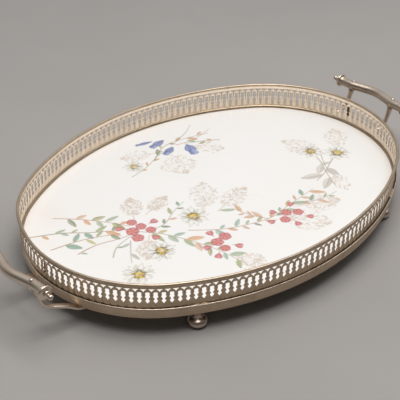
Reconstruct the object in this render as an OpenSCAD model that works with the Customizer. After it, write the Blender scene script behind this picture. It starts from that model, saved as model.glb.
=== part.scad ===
// Oval serving tray: a glazed ceramic plaque held in a metal frame with a pierced gallery,
// four bun feet and two bowed tube handles.
// X runs along the tray, Z is up, and the origin is the middle of the tray at table level.

/* [Tray] */
// Length of the rim, along X
rim_length = 440; // [420:1:460]
// Width of the rim, along Y
rim_width = 320; // [310:1:330]
// Radius of the rim round each narrow end
end_radius = 135; // [128:1:140]
// Height of the top of the rim above the table
rim_height = 59; // [57:0.5:63]
// Diameter of the wire bead along the top of the gallery
bead_d = 3.2; // [2.8:0.1:3.6]

/* [Gallery] */
// Number of openings that would fill the whole gallery, counting the two left blank at its joints
openings = 162; // [150:2:170]
// Thickness of the gallery strip
strip_t = 1; // [0.8:0.1:1]
// Width of the widest part of an opening
opening_w = 4.8; // [4.4:0.1:5.4]
// Height of an opening
opening_h = 12.7; // [11:0.1:13]

/* [Base] */
// Height of the underside of the base ring above the table
base_z = 19.2; // [18:0.1:20]
// Height of the outer wall of the base ring
band_h = 12; // [11:0.1:13]
// Height of the lower edge of the wall's rounded face above the underside of the base ring
wall_lift = 2; // [0:0.5:3]
// Width of the shelf that carries the plaque
shelf_w = 16; // [15:0.5:18]
// Thickness of the shelf
shelf_t = 1.4; // [1.2:0.1:1.6]
// Thickness of the plaque
plaque_t = 6; // [5:0.1:6.4]

/* [Feet] */
// Distance of the feet from the middle, along X
foot_x = 133; // [130:0.5:136]
// Diameter of the bun of a foot
foot_d = 19; // [17:0.2:22]
// Diameter of the neck of a foot
neck_d = 9.6; // [9:0.2:11]

/* [Handles] */
// Diameter of a handle tube
tube_d = 10.4; // [9.6:0.1:11]
// Distance from the rim to the straight ends of a handle, measured to the tube's centre
handle_gap = 31; // [29:0.5:34]
// Distance that the middle of a handle bows outward from its straight ends
handle_bow = 6.8; // [5:0.1:8]
// Distance of each arm from the middle of its handle
arm_y = 29.7; // [28:0.1:32]
// Width of an arm
arm_w = 5.4; // [4.6:0.1:6]
// Thickness of an arm
arm_t = 2.4; // [2:0.1:2.6]

/* [Hidden] */

metal = "#8d8170";
dark_metal = "#6f6556";
glaze = "#f3f0ec";
felt = "#6b5a48";

// The rim is a four-centre oval: two end arcs and two side arcs that meet without a corner.
half_x = rim_length / 2;
half_y = rim_width / 2;
end_centre = half_x - end_radius;
// The angle where they meet is kept to a round number, which leaves the width within 0.01 mm of its value.
function even_angle(a) = round(a * 100) / 100;
wanted_centre = (end_centre ^ 2 + half_y ^ 2 - end_radius ^ 2) / (2 * (half_y - end_radius)) - half_y;
blend = even_angle(atan2(wanted_centre, end_centre));
side_radius = end_radius + end_centre / cos(blend);
side_centre = end_centre * tan(blend);
end_arc = end_radius * 2 * blend * PI / 180;
side_arc = side_radius * (180 - 2 * blend) * PI / 180;
pitch = 2 * (end_arc + side_arc) / openings;
arc_fn = 144;

// Each arc of the rim: centre x and y, radius, first angle, swept angle, first pitch, length in pitches.
end_run = end_arc / pitch;
side_run = side_arc / pitch;
arcs = [
    [end_centre, 0, end_radius, -blend, 2 * blend, -end_run / 2, end_run],
    [0, -side_centre, side_radius, blend, 180 - 2 * blend, end_run / 2, side_run],
    [-end_centre, 0, end_radius, 180 - blend, 2 * blend, end_run / 2 + side_run, end_run],
    [0, side_centre, side_radius, 180 + blend, 180 - 2 * blend, 1.5 * end_run + side_run, side_run]
];

// Heights, from the shelf up
shelf_top = base_z + shelf_t;
felt_t = 1.3;
plaque_z = shelf_top + felt_t;
plaque_top = plaque_z + plaque_t;
ledge_z = base_z + band_h;
inner_bead_r = 2.8;
inner_bead_w = 2.1;
bead_z = rim_height - bead_d / 2;
// Outward shift of the wire bead from the outer face of the gallery
bead_out = 0.1;
band_t = 2;
groove = 0.5;
web_t = 0.8;
plaque_gap = 0.3;

// Openings of the gallery: a spandrel stands above the post between two keyholes
opening_top = rim_height - 9.6;
spandrel_w = 5;
spandrel_h = 3;
spandrel_z = opening_top + 3.6;

// The gallery is two strips, joined at the ends of the tray. Each joint takes the place of an opening.
joint_left = openings / 2;
joint_right = 1;
joint_gap = 0.01;

// Feet stand under the base ring, just inside its wall
foot_inset = 8;
foot_y = sqrt((side_radius - foot_inset) ^ 2 - foot_x ^ 2) - side_centre;
foot_h = base_z;
foot_screw_r = 1.7;
screw_head_r = 2.6;
foot_screw_depth = 11;

// Clips are folded over the ledge above each foot
clip_length = 17;
clip_t = 0.6;
notch_w = 1;
foot_angle = atan2(foot_y + side_centre, foot_x);
clip_angle = clip_length / side_radius * 180 / PI;
notch_angle = notch_w / side_radius * 180 / PI;

// Handles: straight ends at tube_x, bowed outward between them
tube_x = half_x + handle_gap - 0.2;
tube_z = rim_height - 1;
tube_wall = 1;
bow_angle = 14;
bow_radius = 45;
bow_straight = (handle_bow - 2 * bow_radius * (1 - cos(bow_angle))) / sin(bow_angle);
bow_half = 2 * bow_radius * sin(bow_angle) + bow_straight * cos(bow_angle);
tube_half = 44.5;
tube_sides = 32;
bow_step = bow_angle / 5;

// Centre of the tube where the arm meets it
arm_rise = bow_radius - sqrt(bow_radius ^ 2 - (bow_half - arm_y) ^ 2);
arm_x = tube_x + arm_rise;
arm_turn = 20;
arm_root = 56;
rivet_r = 0.9;
rivet_head_r = 1.6;
rivet_tilt = 13;
boss_h = 3.5;
boss_d = 6.2;
arm_screw_r = 1.4;
arm_screw_gap = 6.3;
small_fn = 48;

function opening_outline() = let (w = opening_w / 2, h = opening_h) [
    for (a = [0:30:180]) [w * cos(a), -0.12 * h * (1 - sin(a))],
    [-w * 0.68, -0.22 * h], [-w * 0.86, -0.31 * h], [-w * 0.49, -0.5 * h], [-w * 0.49, -0.59 * h],
    [-w * 0.79, -0.74 * h], [-w * 0.79, -0.81 * h], [0, -h],
    [w * 0.79, -0.81 * h], [w * 0.79, -0.74 * h],
    [w * 0.49, -0.59 * h], [w * 0.49, -0.5 * h], [w * 0.86, -0.31 * h], [w * 0.68, -0.22 * h]
];

function spandrel_outline() = let (w = spandrel_w / 2, h = spandrel_h) [
    [-w, 0], [-w * 0.45, -0.55 * h], [0, -h], [w * 0.45, -0.55 * h], [w, 0]
];

// Outward bulge of the band's face at a share of its height
function band_bulge(t) = 0.45 * sin(180 * t);

// Moves its children in three steps, coarse to fine, so that no digits are lost.
module move_to(place) {
    coarse = [for (x = place) floor(x)];
    middle = [for (x = place - coarse) floor(x * 1000) / 1000];
    translate(coarse) translate(middle) translate(place - coarse - middle) children();
}

// Sweeps a profile drawn as [outward offset, height] along the rim, between two places in pitches.
module along_rim(from = 0, to = openings) {
    for (arc = arcs, turn = [-1:1]) {
        low = max(from, arc[5] + turn * openings);
        high = min(to, arc[5] + arc[6] + turn * openings);
        if (high > low + 0.001) {
            first = even_angle(arc[3] + (low - turn * openings - arc[5]) / arc[6] * arc[4]);
            last = even_angle(arc[3] + (high - turn * openings - arc[5]) / arc[6] * arc[4]);
            move_to([arc[0], arc[1], 0])
                rotate_extrude(angle = last - first, start = first, $fn = arc_fn)
                    move_to([arc[2], 0, 0]) children();
        }
    }
}

// Places its children at a point of the rim given in pitches, with X pointing outward.
module at_rim(place) {
    wrapped = place - openings * floor((place + end_run / 2) / openings);
    for (arc = arcs)
        if (wrapped >= arc[5] && wrapped < arc[5] + arc[6])
            translate([arc[0], arc[1], 0])
                rotate(arc[3] + (wrapped - arc[5]) / arc[6] * arc[4])
                    translate([arc[2], 0, 0]) children();
}

// Oval outline, moved outward by a distance
module oval(out) {
    join_x = end_centre + (end_radius + out) * cos(blend);
    intersection() {
        translate([0, -side_centre]) circle(side_radius + out, $fn = arc_fn);
        translate([0, side_centre]) circle(side_radius + out, $fn = arc_fn);
        square([2 * join_x, 4 * side_radius], center = true);
    }
    for (side = [-1, 1]) translate([side * end_centre, 0]) circle(end_radius + out, $fn = arc_fn);
}

module plaque() {
    color(glaze) translate([0, 0, plaque_z]) linear_extrude(plaque_t) oval(-strip_t - plaque_gap);
}

module packing_strip() {
    color(felt) along_rim()
        translate([-shelf_w + 1, shelf_top]) square([shelf_w - 1 - strip_t - 2 * plaque_gap, felt_t]);
}

module band_profile() {
    steps = 6;
    polygon(concat(
        [[-shelf_w, shelf_top], [-shelf_w, base_z], [web_t, base_z], [web_t, base_z + wall_lift]],
        [for (i = [0:steps]) [
            band_t - 0.3 + band_bulge(i / steps), base_z + wall_lift + (band_h - wall_lift) * i / steps
        ]],
        [[groove, ledge_z], [0, ledge_z - 3 * groove], [0, shelf_top]]
    ));
}

// Runs its children once for each quarter of the tray.
module each_corner() {
    for (x = [0, 1], y = [0, 1]) mirror([x, 0, 0]) mirror([0, y, 0]) children();
}

module screw(top_z, shaft_r, length) {
    head_h = 1.2;
    translate([0, 0, top_z - length]) cylinder(h = length, r = shaft_r, $fn = small_fn);
    translate([0, 0, top_z - head_h])
        cylinder(h = head_h, r1 = shaft_r, r2 = screw_head_r, $fn = small_fn);
}

module foot_screw() {
    translate([foot_x, foot_y, 0]) screw(shelf_top, foot_screw_r, foot_screw_depth);
}

// Places its children where an arm meets the right tube, with X pointing outward along the arm.
// The side is 1 for the back arm and -1 for the front one: they are parallel.
module at_arm(side) {
    translate([arm_x, side * arm_y, 0]) rotate(-arm_turn) children();
}

// The front arm meets the base ring nearer to its tube than the back one does.
module arm_screw_pair(side) {
    first = side > 0 ? 46 : 41.5;
    at_arm(side) for (s = [first, first + arm_screw_gap])
        translate([-s, 0, 0]) screw(shelf_top, arm_screw_r, shelf_t + arm_t);
}

// The left handle is the right one turned half round.
module turned() rotate(180) children();

module all_arm_screws() {
    for (side = [-1, 1]) {
        arm_screw_pair(side);
        turned() arm_screw_pair(side);
    }
}

module base_ring() {
    color(metal) difference() {
        along_rim() band_profile();
        each_corner() foot_screw();
        all_arm_screws();
        each_corner() for (side = [-1, 1])
            translate([0, -side_centre, ledge_z])
                rotate(foot_angle + side * (clip_angle + notch_angle) / 2 * 1.02)
                    translate([side_radius + band_t / 2 + 0.5, 0, 0])
                        cube([band_t + 1, notch_w, 1.6], center = true);
    }
}

// A gallery strip between two joints given in pitches, with openings from one pitch inside them
module gallery(from, to) {
    color(metal) difference() {
        along_rim(from + joint_gap, to)
            translate([-strip_t, shelf_top]) square([strip_t, bead_z - shelf_top]);
        for (place = [from + 1:to - 1])
            at_rim(place) cut_through(opening_top) polygon(opening_outline());
        for (place = [from + 0.5:to - 0.5])
            at_rim(place) cut_through(spandrel_z) polygon(spandrel_outline());
    }
}

// Cutter through the strip, hung from a height
module cut_through(top_z) {
    reach = 3;
    rotate([90, 0, 90]) translate([0, top_z, -reach]) linear_extrude(reach + 2) children();
}

module gallery_front() {
    gallery(joint_left, joint_right + openings);
}

module gallery_back() {
    gallery(joint_right, joint_left);
}

module rim_bead() {
    color(metal) along_rim() difference() {
        translate([bead_out, bead_z]) circle(d = bead_d, $fn = small_fn);
        translate([-strip_t, bead_z - bead_d]) square([strip_t, bead_d]);
    }
}

module inner_bead() {
    color(dark_metal) along_rim() intersection() {
        translate([-strip_t + inner_bead_r - inner_bead_w, plaque_top]) circle(inner_bead_r, $fn = small_fn);
        translate([-strip_t - inner_bead_w, plaque_top]) square([inner_bead_w, inner_bead_r]);
    }
}

// Profile of a foot: flat pad, round bun, narrow neck and a spread seat under the base ring
module foot() {
    bun_r = foot_d / 2;
    bun_h = 10.8;
    pad_r = 4.4;
    color(metal) difference() {
        translate([foot_x, foot_y, 0]) rotate_extrude($fn = 96) polygon(concat(
            [[0, 0], [pad_r, 0]],
            [for (a = [-60:12:84]) [
                bun_r - 3 + 3 * cos(a) - (a < 0 ? 3.4 : 1.8) * (1 - cos(a)),
                bun_h * (0.46 + 0.46 * sin(a))
            ]],
            [[neck_d / 2 + 0.4, bun_h], [neck_d / 2 - 0.3, bun_h + 1.6], [neck_d / 2, bun_h + 4],
                [neck_d / 2 + 1, foot_h - 0.8], [neck_d / 2 + 1, foot_h], [0, foot_h]]
        ));
        foot_screw();
    }
}

module foot_screws() {
    color(dark_metal) each_corner() foot_screw();
}

module foot_clip() {
    translate([0, -side_centre, ledge_z])
        rotate_extrude(angle = clip_angle, start = foot_angle - clip_angle / 2, $fn = arc_fn)
            translate([side_radius + 0.15, 0]) square([band_t - 0.45, clip_t]);
}

module foot_clips() {
    color(metal) each_corner() foot_clip();
}

// Centre line of an arm as [outward distance, height, heading], from its root under the base ring.
// Each move is [turn in degrees, radius of the turn, straight run after it].
arm_moves = [[0, 1, 15.6], [30, 6, 6.5], [-14, 20, 13], [61, 14, 16.3]];
arm_start = [-arm_root, base_z - arm_t / 2, 0];
arm_step = 10;

function arc_points(p, turn, radius) = turn == 0 ? [] : [
    for (a = [arm_step:arm_step:abs(turn)]) let (t = a * sign(turn), side = sign(turn) * radius) [
        p[0] + side * (sin(p[2] + t) - sin(p[2])), p[1] + side * (cos(p[2]) - cos(p[2] + t)), p[2] + t
    ],
    let (side = sign(turn) * radius) [
        p[0] + side * (sin(p[2] + turn) - sin(p[2])),
        p[1] + side * (cos(p[2]) - cos(p[2] + turn)), p[2] + turn
    ]
];

function arm_line(points, i = 0) = i == len(arm_moves) ? points :
    let (p = points[len(points) - 1], bent = concat([p], arc_points(p, arm_moves[i][0], arm_moves[i][1])),
        q = bent[len(bent) - 1], run = arm_moves[i][2])
    arm_line(concat(points, [for (k = [1:1:len(bent) - 1]) bent[k]],
        [[q[0] + run * cos(q[2]), q[1] + run * sin(q[2]), q[2]]]), i + 1);

function beside(p, out) = [p[0] - out * sin(p[2]), p[1] + out * cos(p[2])];

// Places its children at the tube's centre over an arm, with Z along the rivet.
module at_rivet(side) {
    at_arm(side) translate([0, 0, tube_z]) rotate([0, rivet_tilt, 0]) children();
}

module arm_rivet(side) {
    head_h = 0.9;
    dome_r = 1.9;
    at_rivet(side) {
        translate([0, 0, -tube_d / 2 - boss_h + 1])
            cylinder(h = tube_d + boss_h - 1, r = rivet_r, $fn = small_fn);
        translate([0, 0, tube_d / 2 - 0.3]) intersection() {
            cylinder(h = head_h + 0.3, r = rivet_head_r, $fn = small_fn);
            translate([0, 0, head_h + 0.3 - dome_r]) sphere(dome_r, $fn = small_fn);
        }
    }
}

// Half of the tube's centre line, from its middle outward, as [x, y, heading]
tube_line = concat(
    [for (a = [0:bow_step:bow_angle]) [
        tube_x + handle_bow - bow_radius * (1 - cos(a)), bow_radius * sin(a), a
    ]],
    [for (a = [bow_angle:-bow_step:0]) [
        tube_x + bow_radius * (1 - cos(a)), bow_half - bow_radius * sin(a), a
    ]],
    [[tube_x, tube_half, 0]]
);
tube_stations = concat(
    [for (i = [len(tube_line) - 1:-1:1]) [tube_line[i][0], -tube_line[i][1], -tube_line[i][2]]],
    tube_line
);

function tube_ring(p, r) = [
    for (j = [0:tube_sides - 1]) let (t = 360 * j / tube_sides) [
        p[0] + r * cos(t) * cos(p[2]), p[1] + r * cos(t) * sin(p[2]), tube_z + r * sin(t)
    ]
];

// The tube's wall is drawn ring by ring: all the outer rings first, then all the inner ones.
module tube_body() {
    n = tube_sides;
    last = len(tube_stations) - 1;
    inner = n * (last + 1);
    points = concat(
        [for (p = tube_stations) each tube_ring(p, tube_d / 2)],
        [for (p = tube_stations) each tube_ring(p, tube_d / 2 - tube_wall)]
    );
    walls = [
        for (i = [0:last - 1], j = [0:n - 1])
            let (a = i * n + j, b = i * n + (j + 1) % n, c = b + n, d = a + n)
                each [[a, b, c], [a, c, d],
                    [c + inner, b + inner, a + inner], [d + inner, c + inner, a + inner]]
    ];
    ends = [
        for (j = [0:n - 1]) let (k = (j + 1) % n, e = last * n)
            each [[j, inner + j, inner + k], [j, inner + k, k],
                [e + j, e + k, e + inner + k], [e + j, e + inner + k, e + inner + j]]
    ];
    polyhedron(points, concat(walls, ends), convexity = 6);
}

module tube() {
    color(metal) difference() {
        tube_body();
        for (side = [-1, 1]) arm_rivet(side);
    }
}

// Solid bend that an arm's boss is hollowed with
module bend_bar(side) {
    translate([tube_x + bow_radius, side * bow_half, tube_z])
        rotate_extrude(angle = 2 * bow_angle, start = side > 0 ? 180 : 180 - 2 * bow_angle, $fn = arc_fn)
            translate([bow_radius, 0]) circle(d = tube_d, $fn = small_fn);
}

// An arm is a bent strap with a round boss at its upper end, hollowed to fit the tube.
module arm(side) {
    line = arm_line([arm_start]);
    color(metal) difference() {
        union() {
            at_arm(side) rotate([90, 0, 0]) linear_extrude(arm_w, center = true) polygon(concat(
                [for (p = line) beside(p, -arm_t / 2)],
                [for (i = [len(line) - 1:-1:0]) beside(line[i], arm_t / 2)]
            ));
            at_rivet(side) translate([0, 0, -tube_d / 2 - boss_h])
                cylinder(h = boss_h + 1.5, d = boss_d, $fn = small_fn);
        }
        bend_bar(side);
        arm_rivet(side);
        arm_screw_pair(side);
    }
}

module arm_screws() {
    color(dark_metal) all_arm_screws();
}

module arm_rivets() {
    color(metal) for (side = [-1, 1]) {
        arm_rivet(side);
        turned() arm_rivet(side);
    }
}

// Turned about the tube's axis, from the tube's end outward
module on_tube_end() {
    translate([tube_x, tube_half, tube_z]) rotate([-90, 0, 0]) children();
}

finial_screw_r = 1;

module cap() {
    bore_r = tube_d / 2 - tube_wall;
    outer_r = tube_d / 2;
    color(metal) on_tube_end() difference() {
        rotate_extrude($fn = 96) polygon(concat(
            [[0, -6], [bore_r, -6], [bore_r, 0], [outer_r, 0], [outer_r + 0.5, 1.6]],
            [for (a = [-60:20:80]) [outer_r + 0.2 + 0.9 * cos(a), 3 + 1.2 * sin(a)]],
            [[outer_r - 0.6, 4.4], [outer_r - 1.8, 5.4], [2, 5.9], [0, 5.9]]
        ));
        translate([0, 0, -1]) cylinder(h = 10, r = finial_screw_r, $fn = small_fn);
    }
}

module finial() {
    ball_r = 2.4;
    ball_t = 11.7;
    color(metal) on_tube_end() {
        rotate_extrude($fn = 96) polygon(concat(
            [[0, -1], [finial_screw_r, -1], [finial_screw_r, 5.9], [2, 5.9], [2.6, 6]],
            [for (a = [-60:30:60]) [2.7 + 0.9 * cos(a), 6.9 + 0.8 * sin(a)]],
            [[2, 7.9], [1.3, 8.6], [1.3, 9.5]],
            [for (a = [-55:15:75]) [ball_r * cos(a), ball_t + ball_r * sin(a)]],
            [[0, ball_t + ball_r]]
        ));
    }
}

module left() mirror([1, 0, 0]) children();
module front() mirror([0, 1, 0]) children();

plaque();
packing_strip();
base_ring();
gallery_front();
gallery_back();
rim_bead();
inner_bead();
left() front() foot();  // foot_left_front
front() foot();  // foot_right_front
left() foot();  // foot_left_back
foot();  // foot_right_back
foot_screws();
foot_clips();
turned() arm(1);  // arm_left_front
arm(-1);  // arm_right_front
turned() arm(-1);  // arm_left_back
arm(1);  // arm_right_back
arm_screws();
arm_rivets();
turned() tube();  // tube_left
tube();  // tube_right
left() front() cap();  // cap_left_front
front() cap();  // cap_right_front
left() cap();  // cap_left_back
cap();  // cap_right_back
left() front() finial();  // finial_left_front
front() finial();  // finial_right_front
left() finial();  // finial_left_back
finial();  // finial_right_back
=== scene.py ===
"""An oval tray: a painted ceramic plaque in a nickel frame with a gallery, bun feet and tube handles."""
import math

import bpy
import numpy as np
from mathutils import Matrix, Vector, geometry


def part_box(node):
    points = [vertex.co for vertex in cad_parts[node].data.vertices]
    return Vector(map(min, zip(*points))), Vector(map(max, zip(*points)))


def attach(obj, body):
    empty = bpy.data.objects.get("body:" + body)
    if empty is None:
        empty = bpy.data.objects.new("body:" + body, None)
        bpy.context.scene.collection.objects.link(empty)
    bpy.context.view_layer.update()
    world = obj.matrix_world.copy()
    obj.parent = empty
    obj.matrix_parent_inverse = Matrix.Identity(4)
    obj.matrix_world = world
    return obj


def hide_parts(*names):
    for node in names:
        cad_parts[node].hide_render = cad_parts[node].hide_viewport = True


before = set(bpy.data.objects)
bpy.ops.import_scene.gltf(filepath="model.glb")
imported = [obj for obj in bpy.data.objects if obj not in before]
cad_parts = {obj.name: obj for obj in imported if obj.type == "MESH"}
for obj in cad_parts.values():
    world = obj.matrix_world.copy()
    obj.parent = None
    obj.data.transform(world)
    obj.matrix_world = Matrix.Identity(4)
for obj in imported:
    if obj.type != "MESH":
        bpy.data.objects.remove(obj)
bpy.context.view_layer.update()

MM = 0.001
rng = np.random.default_rng(7)

# ---- sizes in millimetres, read from the frame
low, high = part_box("gallery_back")
HALF_X = max(abs(low.x), abs(high.x)) / MM
HALF_Y = max(abs(low.y), abs(high.y)) / MM
PLAQUE_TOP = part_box("plaque")[1].z / MM
PLAQUE_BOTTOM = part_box("plaque")[0].z / MM
RIM_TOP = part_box("rim_bead")[1].z / MM
BASE_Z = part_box("base_ring")[0].z / MM
LEDGE_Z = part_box("foot_clips")[0].z / MM
SHELF_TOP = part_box("packing_strip")[0].z / MM
# The rim's outline is four arcs that meet smoothly: two ends of this radius and two flatter sides.
END_RADIUS = 135.0
END_CENTRE = HALF_X - END_RADIUS
SIDE_RADIUS = (END_CENTRE**2 + HALF_Y**2 - END_RADIUS**2) / (2 * (HALF_Y - END_RADIUS))
SIDE_CENTRE = SIDE_RADIUS - HALF_Y
BLEND = math.atan2(SIDE_CENTRE, END_CENTRE)
# Places on the rim are counted in openings of the gallery, from the right end over the back to the left end.
OPENINGS = 162
END_ARC = 2 * BLEND * END_RADIUS
SIDE_ARC = (math.pi - 2 * BLEND) * SIDE_RADIUS
PITCH = 2 * (END_ARC + SIDE_ARC) / OPENINGS
LEFT_JOINT = 81
RIGHT_JOINT = 1


def on_rim(place, out=0.0):
    """Points of the rim and their outward directions, for places in pitches from the right end."""
    place = np.atleast_1d(np.asarray(place, float))
    end_run = END_ARC / PITCH
    side_run = SIDE_ARC / PITCH
    where = (place + end_run / 2) % OPENINGS
    turn = math.pi - 2 * BLEND
    arcs = (
        (0.0, end_run, END_CENTRE, 0.0, END_RADIUS, -BLEND, 2 * BLEND),
        (end_run, side_run, 0.0, -SIDE_CENTRE, SIDE_RADIUS, BLEND, turn),
        (end_run + side_run, end_run, -END_CENTRE, 0.0, END_RADIUS, math.pi - BLEND, 2 * BLEND),
        (2 * end_run + side_run, side_run, 0.0, SIDE_CENTRE, SIDE_RADIUS, math.pi + BLEND, turn),
    )
    x = np.zeros_like(place)
    y = np.zeros_like(place)
    angle = np.zeros_like(place)
    for start, run, cx, cy, radius, first, swept in arcs:
        hit = (where >= start) & (where <= start + run + 1e-9)
        a = first + (where - start) / run * swept
        reach = radius + np.broadcast_to(out, place.shape)
        x = np.where(hit, cx + reach * np.cos(a), x)
        y = np.where(hit, cy + reach * np.sin(a), y)
        angle = np.where(hit, a, angle)
    return x, y, angle


def rim_reach(angle, out):
    """Distance from the middle to the rim in a direction from the middle."""
    c = np.abs(np.cos(angle))
    s = np.abs(np.sin(angle))
    end = END_RADIUS + out
    side = SIDE_RADIUS + out
    to_end = END_CENTRE * c + np.sqrt(np.maximum(end**2 - (END_CENTRE * s) ** 2, 0.0))
    to_side = -SIDE_CENTRE * s + np.sqrt(np.maximum(side**2 - (SIDE_CENTRE * c) ** 2, 0.0))
    join = math.atan2(END_RADIUS * math.sin(BLEND), END_CENTRE + END_RADIUS * math.cos(BLEND))
    return np.where(np.arctan2(s, c) < join, to_end, to_side)


# A knock has pushed the ring and the rim in near the left end: how far, and at which place.
RING_KNOCK, RING_KNOCK_AT = 2.5, 73.5
RIM_KNOCK, RIM_KNOCK_AT = 1.1, 75.5
KNOCK_SPREAD = 5.0


def knocked(place, middle):
    """1 at the middle of a knock, falling to 0 away from it."""
    return np.exp(-(((np.asarray(place, float) - middle) / KNOCK_SPREAD) ** 2))


# The rim's waviness from use: how far, how many waves round the rim, and where they start.
WAVES_OUT = ((0.25, 3, 0.6), (0.2, 7, 2.1), (0.08, 17, 0.0))
WAVES_UP = ((0.18, 4, 1.7), (0.1, 9, 0.4))


def lean(place, z):
    """How far the metal is bent outward and upward at a place and height: all of it at the rim."""
    t = 2 * math.pi * np.asarray(place, float) / OPENINGS
    outward = sum(far * np.sin(count * t + start) for far, count, start in WAVES_OUT)
    upward = sum(far * np.sin(count * t + start) for far, count, start in WAVES_UP)
    share = np.clip((np.asarray(z, float) - LEDGE_Z) / (RIM_TOP - LEDGE_Z), 0.0, 1.0)
    return (outward - RIM_KNOCK * knocked(place, RIM_KNOCK_AT)) * share, upward * share


# ---- mesh helpers
def make_mesh(name, verts, faces, normals=None, smooth_angle=40.0, paint=None):
    """A mesh from millimetre points and faces, smooth but for edges sharper than the angle."""
    mesh = bpy.data.meshes.new(name)
    mesh.from_pydata((np.asarray(verts, float) * MM).tolist(), [], [tuple(int(i) for i in f) for f in faces])
    mesh.validate()
    mesh.update()
    for poly in mesh.polygons:
        poly.use_smooth = True
    if normals is not None:
        mesh.normals_split_custom_set_from_vertices(np.asarray(normals, float).tolist())
    else:
        mesh.set_sharp_from_angle(angle=math.radians(smooth_angle))
    if paint is not None:
        layer = mesh.color_attributes.new("paint", "FLOAT_COLOR", "POINT")
        layer.data.foreach_set("color", paint.ravel())
    return mesh


def add_piece(name, part, material, slot, replaced=(), **look):
    """Shows a part of points and faces as a piece of the tray, in place of the CAD nodes that it replaces."""
    mesh = make_mesh(name, *part, **look)
    piece = bpy.data.objects.new(name, mesh)
    bpy.context.scene.collection.objects.link(piece)
    mesh.materials.append(material)
    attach(piece, "root")
    if replaced:
        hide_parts(*replaced)


def join_parts(parts):
    """One list of points and faces from several."""
    verts = []
    faces = []
    for v, f in parts:
        base = sum(len(x) for x in verts)
        verts.append(np.asarray(v, float).reshape(-1, 3))
        faces.extend([tuple(i + base for i in face) for face in f])
    return np.concatenate(verts), faces


def flipped(faces):
    return [tuple(reversed(face)) for face in faces]


def grid_faces(rows, columns, wrap_rows=False, wrap_columns=False):
    """Quads over a grid of points that are stored row by row."""
    faces = []
    for i in range(rows if wrap_rows else rows - 1):
        a = i * columns
        b = (i + 1) % rows * columns
        for j in range(columns if wrap_columns else columns - 1):
            k = (j + 1) % columns
            faces.append((a + j, b + j, b + k, a + k))
    return faces


def grid_border(rows, columns):
    """Points along the edge of a grid, once round."""
    last = rows * columns - 1
    border = list(range(columns - 1)) + [r * columns + columns - 1 for r in range(rows - 1)]
    return border + [last - c for c in range(columns - 1)] + [r * columns for r in range(rows - 1, 0, -1)]


def tube_faces(rings, sides, wrapped=False):
    """Quads between rings of points, with a face over each open end."""
    faces = grid_faces(rings, sides, wrapped, True)
    if not wrapped:
        faces.append(tuple(range(sides)))
        faces.append(tuple((rings - 1) * sides + i for i in reversed(range(sides))))
    return faces


def swept_on_rim(profile, first=0.0, last=None, per_pitch=3, bent=False, tucked=False):
    """Sweeps a closed profile of [outward, height] along the rim, right round it or between two places.

    What is bent follows the rim's waviness, and what is tucked follows the knock in the base ring.
    """
    closed = last is None
    last = OPENINGS if closed else last
    count = max(2, int(round((last - first) * per_pitch)) + (0 if closed else 1))
    places = first + (last - first) * np.arange(count) / (count if closed else count - 1)
    profile = np.asarray(profile, float)
    ahead = np.roll(profile, -1, 0)
    if np.sum(profile[:, 0] * ahead[:, 1] - ahead[:, 0] * profile[:, 1]) < 0:
        profile = profile[::-1]
    rings = []
    for out, z in profile:
        shift, rise = lean(places, z) if bent else (0.0, 0.0)
        if tucked and out > -1.0:
            shift = -RING_KNOCK * knocked(places, RING_KNOCK_AT)
        x, y, _ = on_rim(places, out + shift)
        rings.append(np.stack([x, y, np.full(count, z) + rise], 1))
    return np.stack(rings, 1).reshape(-1, 3), tube_faces(count, len(profile), closed)


def lathed(profile, sides=64):
    """Turns a profile of (radius, height) about Z. Its two ends are points on the axis."""
    a = 2 * math.pi * np.arange(sides) / sides
    rings = [np.stack([r * np.cos(a), r * np.sin(a), np.full(sides, z)], 1) for r, z in profile[1:-1]]
    verts = np.concatenate([[(0.0, 0.0, profile[0][1])], *rings, [(0.0, 0.0, profile[-1][1])]])
    last = len(verts) - 1
    faces = []
    for j in range(sides):
        k = (j + 1) % sides
        faces.append((0, 1 + k, 1 + j))
        for ring in range(1, last - sides, sides):
            faces.append((ring + j, ring + k, ring + sides + k, ring + sides + j))
        faces.append((last - sides + j, last - sides + k, last))
    return verts, faces


def rounded(points, turns=2, closed=False):
    """Cuts the corners of an outline. An open one keeps its ends."""
    points = [np.array(p, float) for p in points]
    for _ in range(turns):
        cut = []
        for a, b in zip(points, points[1:] + (points[:1] if closed else [])):
            cut += [a + (b - a) * 0.25, b - (b - a) * 0.25]
        points = cut if closed else [points[0], *cut, points[-1]]
    return points


def tube_along(centres, radii, sides=40):
    """A round tube through points, with a radius at each. It runs nowhere near upright."""
    centres = np.asarray(centres, float)
    tangent = np.gradient(centres, axis=0)
    tangent /= np.linalg.norm(tangent, axis=1)[:, None]
    a = 2 * math.pi * np.arange(sides)[:, None] / sides
    verts = []
    for c, t, r in zip(centres, tangent, radii):
        side = np.cross((0.0, 0.0, 1.0), t)
        side /= np.linalg.norm(side)
        verts.append(c + r * (np.cos(a) * side + np.sin(a) * np.cross(t, side)))
    return np.concatenate(verts), flipped(tube_faces(len(centres), sides))


def placed(part, origin=(0, 0, 0), x=(1, 0, 0), y=(0, 1, 0), z=(0, 0, 1)):
    """A part moved into the frame given by an origin and three directions."""
    verts, faces = part
    matrix = np.array([x, y, z], float)
    if np.linalg.det(matrix) < 0:
        faces = flipped(faces)
    return np.asarray(verts, float) @ matrix + np.array(origin, float), faces


def mirrored(part, sign_x, sign_y):
    return placed(part, x=(sign_x, 0, 0), y=(0, sign_y, 0))


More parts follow.
